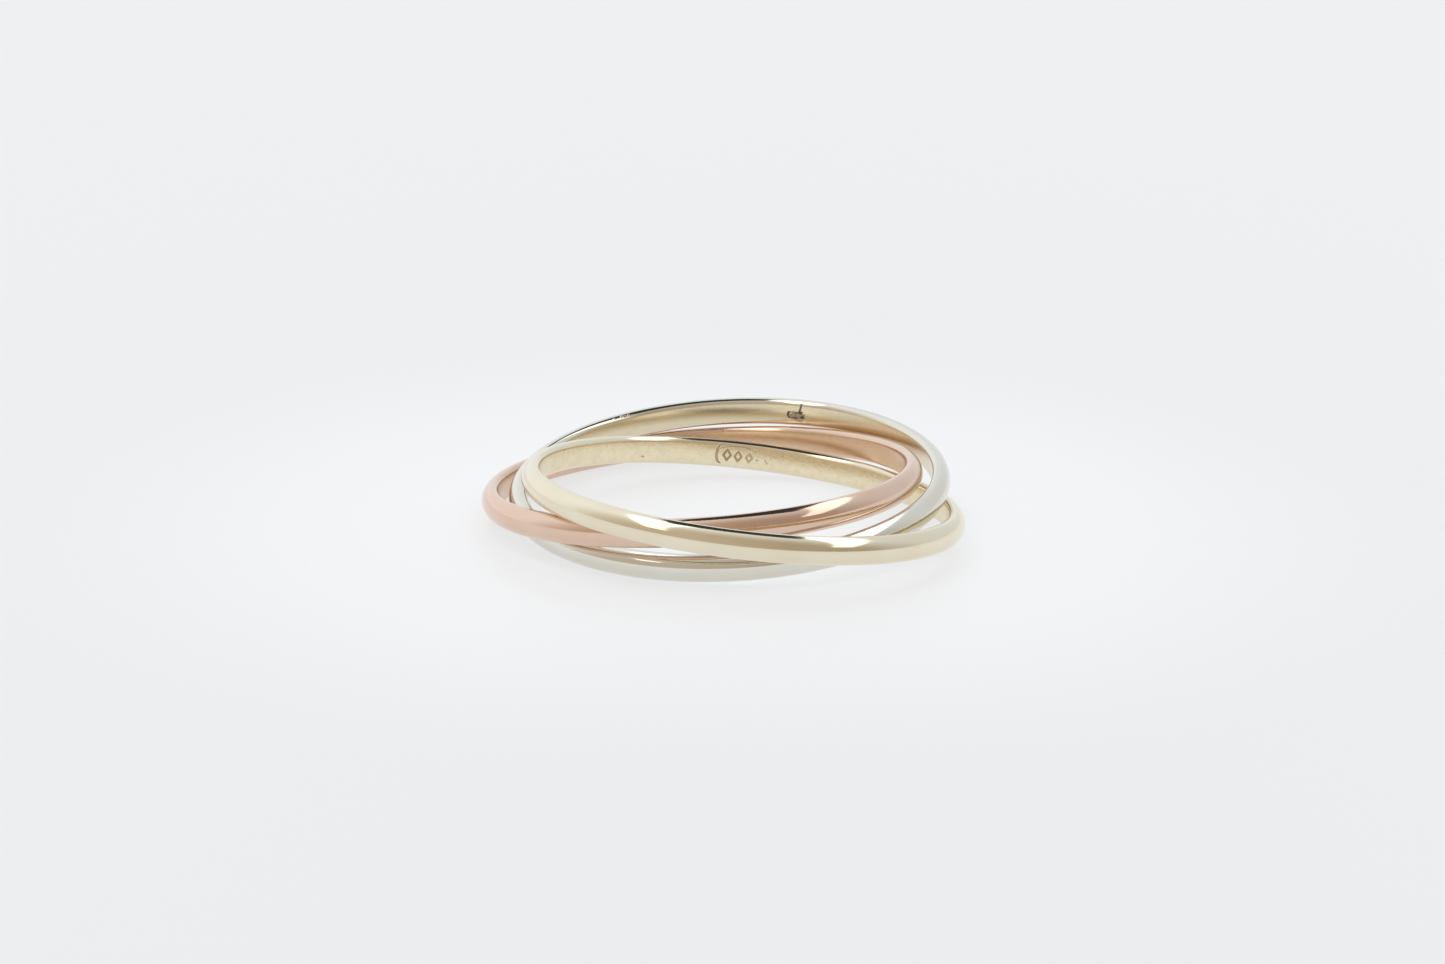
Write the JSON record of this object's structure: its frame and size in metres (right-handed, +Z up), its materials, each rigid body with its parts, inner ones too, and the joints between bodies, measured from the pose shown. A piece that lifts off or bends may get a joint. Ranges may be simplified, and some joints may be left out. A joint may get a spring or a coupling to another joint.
{
  "type": "three-band rolling ring",
  "caption": "Rolling ring of thin plain gold bands in yellow, white and rose, linked through one another, almost flat inside and domed outside, lying loose on a table.",
  "frame": {"origin": "on the table, under the middle of the outline of the three bands as they lie", "axes": "+Z up, along the finger hole; +X to the right and +Y to the back, as the picture shows the ring"},
  "size_m": [0.0214, 0.0222, 0.0038],
  "materials": {
    "yellow_gold": "9 ct yellow gold, polished outside, satin inside",
    "white_gold": "9 ct white gold, polished, with a pitted solder seam inside",
    "rose_gold": "9 ct rose gold, polished, a little duller inside"
  },
  "bodies": {
    "yellow": {"yellow_band": "yellow_gold"},
    "white": {"white_band": "white_gold"},
    "rose": {"rose_band": "rose_gold"}
  },
  "joints": [
    {"name": "white_turn", "type": "hinge", "parent": "yellow", "child": "white", "pos_m": [0.0003, 0.00138, 0.00156], "axis": [-0.0587, -0.0824, 0.9949], "continuous": true},
    {"name": "rose_turn", "type": "hinge", "parent": "yellow", "child": "rose", "pos_m": [-0.0009, 0.00127, 0.00167], "axis": [-0.0767, 0.0823, 0.9936], "continuous": true}
  ]
}
